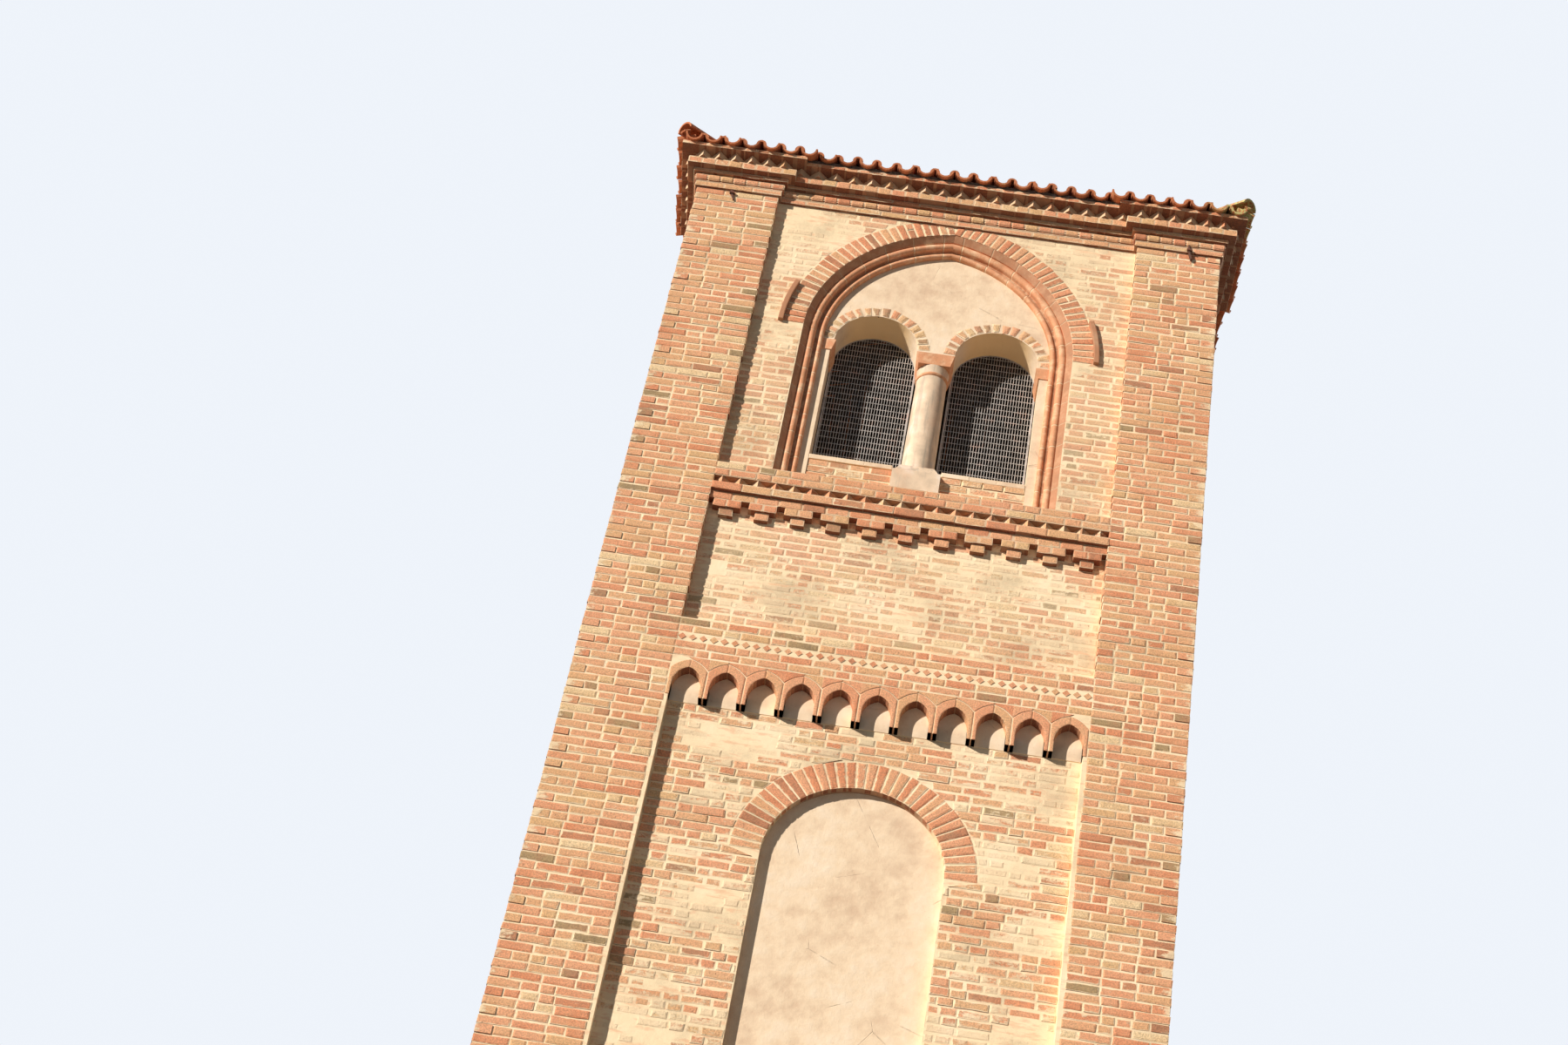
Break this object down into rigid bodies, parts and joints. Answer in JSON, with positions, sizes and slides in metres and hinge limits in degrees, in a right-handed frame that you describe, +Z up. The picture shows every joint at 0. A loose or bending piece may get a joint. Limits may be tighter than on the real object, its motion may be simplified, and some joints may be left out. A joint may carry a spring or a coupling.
{
  "type": "bell tower",
  "caption": "Square brick bell tower with corner pilasters, arcaded bands, twin arched belfry lights on each side, a moulded cornice and a low hipped tile roof.",
  "frame": {"origin": "on the ground at the middle of the square plan", "axes": "+Z up along the height, the front face looks towards -Y, +X to the right of the front"},
  "size_m": [5.6, 5.6, 21.9558],
  "materials": {
    "pier_brick": "weathered salmon brick with cream recessed mortar",
    "panel_brick": "brick smeared with cream mortar",
    "arch_brick": "radial brick with cream joints",
    "cornice_brick": "weathered brick",
    "terracotta": "moulded terracotta",
    "plaster": "old lime plaster",
    "light_stone": "smooth light stone",
    "wire": "weathered wire mesh",
    "roof_tile": "mossy terracotta roof tile",
    "floor_wood": "aged boards"
  },
  "bodies": {
    "root": {"front_left_pier": "pier_brick", "front_right_pier": "pier_brick", "back_right_pier": "pier_brick", "back_left_pier": "pier_brick", "front_lower_wall": "panel_brick", "right_lower_wall": "panel_brick", "back_lower_wall": "panel_brick", "left_lower_wall": "panel_brick", "relieving_arches": "arch_brick", "blind_window_infills": "plaster", "arcade_bands": "terracotta", "front_middle_wall": "panel_brick", "right_middle_wall": "panel_brick", "back_middle_wall": "panel_brick", "left_middle_wall": "panel_brick", "string_courses": "cornice_brick", "front_belfry_wall": "panel_brick", "right_belfry_wall": "panel_brick", "back_belfry_wall": "panel_brick", "left_belfry_wall": "panel_brick", "window_arch_rings": "arch_brick", "window_surrounds": "terracotta", "hood_stubs": "terracotta", "tympana": "plaster", "window_jambs": "plaster", "jamb_imposts": "terracotta", "window_sills": "panel_brick", "window_columns": "light_stone", "column_rings": "terracotta", "column_capitals": "terracotta", "column_bases": "light_stone", "cornice_lower_course": "cornice_brick", "cornice_round_course": "cornice_brick", "cornice_thin_course": "cornice_brick", "cornice_thick_course": "cornice_brick", "cornice_sawtooth": "cornice_brick", "eaves_course": "cornice_brick", "front_roof": "roof_tile", "right_roof": "roof_tile", "back_roof": "roof_tile", "left_roof": "roof_tile", "hip_caps": "roof_tile", "belfry_floor": "floor_wood"}
  },
  "joints": []
}
